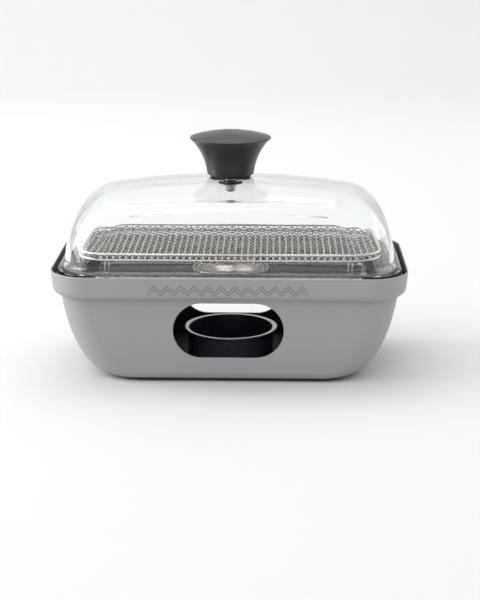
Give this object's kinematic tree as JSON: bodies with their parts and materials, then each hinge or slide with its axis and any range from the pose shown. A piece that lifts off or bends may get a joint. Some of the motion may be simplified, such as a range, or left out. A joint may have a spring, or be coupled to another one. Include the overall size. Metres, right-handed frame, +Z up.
{
  "type": "stovetop smoker box",
  "caption": "Countertop food smoker: pressed steel housing with stadium windows, burner cup, drop-in pan, chip dish, woven wire rack and lift-off glass lid with a knob.",
  "frame": {"origin": "middle of the flat base, at the height of the surface it stands on", "axes": "+Z up, +X to the right along the housing's length, -Y towards the front window"},
  "size_m": [0.26, 0.1362, 0.1752],
  "materials": {
    "painted_grey": "matt",
    "black_enamel": "satin",
    "bright_steel": "polished",
    "wire_steel": "polished",
    "clear_glass": "clear",
    "knob_black": "matt",
    "seal_black": "matt",
    "insert_brass": "machined",
    "zinc_steel": "satin"
  },
  "bodies": {
    "base": {"housing": "painted_grey"},
    "burner": {"burner_cup": "black_enamel"},
    "pan": {"pan": "bright_steel"},
    "dish": {"chip_dish": "bright_steel"},
    "rack": {"rack_upper_frame": "wire_steel", "rack_lower_frame": "wire_steel", "rack_long_wires": "wire_steel", "rack_cross_wires": "wire_steel", "rack_leg_front_left": "wire_steel", "rack_leg_front_right": "wire_steel", "rack_leg_rear_left": "wire_steel", "rack_leg_rear_right": "wire_steel"},
    "lid": {"glass_lid": "clear_glass", "lid_knob": "knob_black", "knob_insert": "insert_brass", "knob_screw": "zinc_steel", "knob_gasket": "seal_black", "inner_gasket": "seal_black", "screw_washer": "zinc_steel"}
  },
  "joints": [
    {"name": "burner_lift", "type": "slide", "parent": "base", "child": "burner", "axis": [0, 0, 1], "range_m": [0, 0.1]},
    {"name": "pan_lift", "type": "slide", "parent": "burner", "child": "pan", "axis": [0, 0, 1], "range_m": [0, 0.07]},
    {"name": "dish_lift", "type": "slide", "parent": "pan", "child": "dish", "axis": [0, 0, 1], "range_m": [0, 0.04]},
    {"name": "rack_lift", "type": "slide", "parent": "dish", "child": "rack", "axis": [0, 0, 1], "range_m": [0, 0.04]},
    {"name": "lid_lift", "type": "slide", "parent": "rack", "child": "lid", "axis": [0, 0, 1], "range_m": [0, 0.07]}
  ]
}
